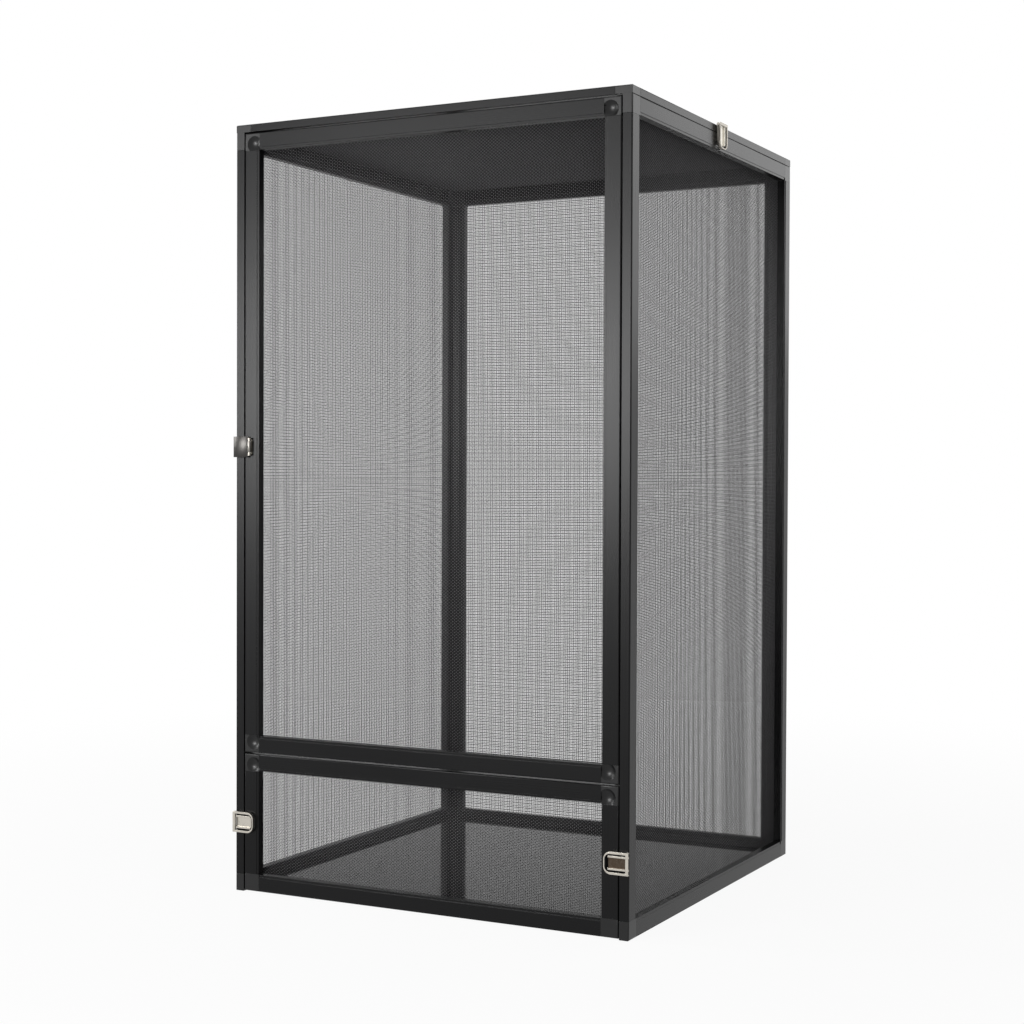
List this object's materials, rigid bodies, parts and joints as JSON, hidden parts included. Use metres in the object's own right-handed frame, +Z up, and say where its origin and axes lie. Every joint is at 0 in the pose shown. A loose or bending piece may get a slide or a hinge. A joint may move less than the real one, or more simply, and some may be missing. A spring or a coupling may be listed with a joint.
{
  "type": "mesh reptile cage",
  "caption": "Tall square screen cage of hollow aluminium frames with wire mesh, a hinged upper door, a drop-down lower door, a lift-off lid and lever latches.",
  "frame": {"origin": "on the ground under the middle of the cage", "axes": "+Z up, -Y out of the doors, +X to the upper door's hinge side"},
  "size_m": [0.4594, 0.4547, 0.8022],
  "materials": {
    "frame": "satin black",
    "connector": "moulded black",
    "mesh": "black coated wire",
    "spline": "matt",
    "floor": "glossy black sheet",
    "bracket": "black",
    "latch": "nickel plated",
    "latch_pin": "nickel plated"
  },
  "bodies": {
    "cage": {"left_front_stile": "frame", "left_rear_stile": "frame", "left_top_rail": "frame", "left_bottom_rail": "frame", "left_corners": "connector", "left_mesh": "mesh", "left_spline": "spline", "right_front_stile": "frame", "right_rear_stile": "frame", "right_top_rail": "frame", "right_bottom_rail": "frame", "right_corners": "connector", "right_mesh": "mesh", "right_spline": "spline", "back_left_stile": "frame", "back_right_stile": "frame", "back_top_rail": "frame", "back_bottom_rail": "frame", "back_corners": "connector", "back_mesh": "mesh", "back_spline": "spline", "floor_tray": "floor", "hinge_brackets": "bracket", "door_strikes": "latch", "lid_latch_bases": "latch", "lid_latch_pins": "latch_pin"},
    "upper_door": {"upper_left_stile": "frame", "upper_right_stile": "frame", "upper_top_rail": "frame", "upper_bottom_rail": "frame", "upper_corners": "connector", "upper_mesh": "mesh", "upper_spline": "spline", "upper_latch_base": "latch", "upper_latch_pin": "latch_pin"},
    "lower_door": {"lower_left_stile": "frame", "lower_right_stile": "frame", "lower_top_rail": "frame", "lower_bottom_rail": "frame", "lower_corners": "connector", "lower_mesh": "mesh", "lower_spline": "spline", "lower_latch_bases": "latch", "lower_latch_pins": "latch_pin"},
    "lid": {"lid_left_rail": "frame", "lid_right_rail": "frame", "lid_front_rail": "frame", "lid_rear_rail": "frame", "lid_corners": "connector", "lid_mesh": "mesh", "lid_spline": "spline", "lid_strikes": "latch"},
    "upper_lever": {"upper_latch_lever": "latch"},
    "lower_left_lever": {"lower_left_latch_lever": "latch"},
    "lower_right_lever": {"lower_right_latch_lever": "latch"},
    "lid_left_lever": {"lid_left_latch_lever": "latch"},
    "lid_right_lever": {"lid_right_latch_lever": "latch"}
  },
  "joints": [
    {"name": "upper_door_hinge", "type": "hinge", "parent": "cage", "child": "upper_door", "pos_m": [0.2114, -0.2224, 0.4683], "axis": [0, 0, 1], "range_deg": [0, 100]},
    {"name": "lower_door_hinge", "type": "hinge", "parent": "cage", "child": "lower_door", "pos_m": [0, -0.2224, 0.0036], "axis": [1, 0, 0], "range_deg": [0, 85]},
    {"name": "lid_lift", "type": "slide", "parent": "cage", "child": "lid", "axis": [0, 0, 1], "range_m": [0, 0.1]},
    {"name": "upper_latch_turn", "type": "hinge", "parent": "upper_door", "child": "upper_lever", "pos_m": [-0.2065, -0.2278, 0.4651], "axis": [0, 0, 1], "range_deg": [0, 110]},
    {"name": "lower_left_latch_turn", "type": "hinge", "parent": "lower_door", "child": "lower_left_lever", "pos_m": [-0.2242, -0.227, 0.0728], "axis": [0, 0, -1], "range_deg": [0, 110]},
    {"name": "lower_right_latch_turn", "type": "hinge", "parent": "lower_door", "child": "lower_right_lever", "pos_m": [0.2242, -0.227, 0.0728], "axis": [0, 0, 1], "range_deg": [0, 110]},
    {"name": "lid_left_latch_turn", "type": "hinge", "parent": "cage", "child": "lid_left_lever", "pos_m": [-0.227, 0, 0.8003], "axis": [0, 1, 0], "range_deg": [0, 110]},
    {"name": "lid_right_latch_turn", "type": "hinge", "parent": "cage", "child": "lid_right_lever", "pos_m": [0.227, 0, 0.8003], "axis": [0, -1, 0], "range_deg": [0, 110]}
  ]
}
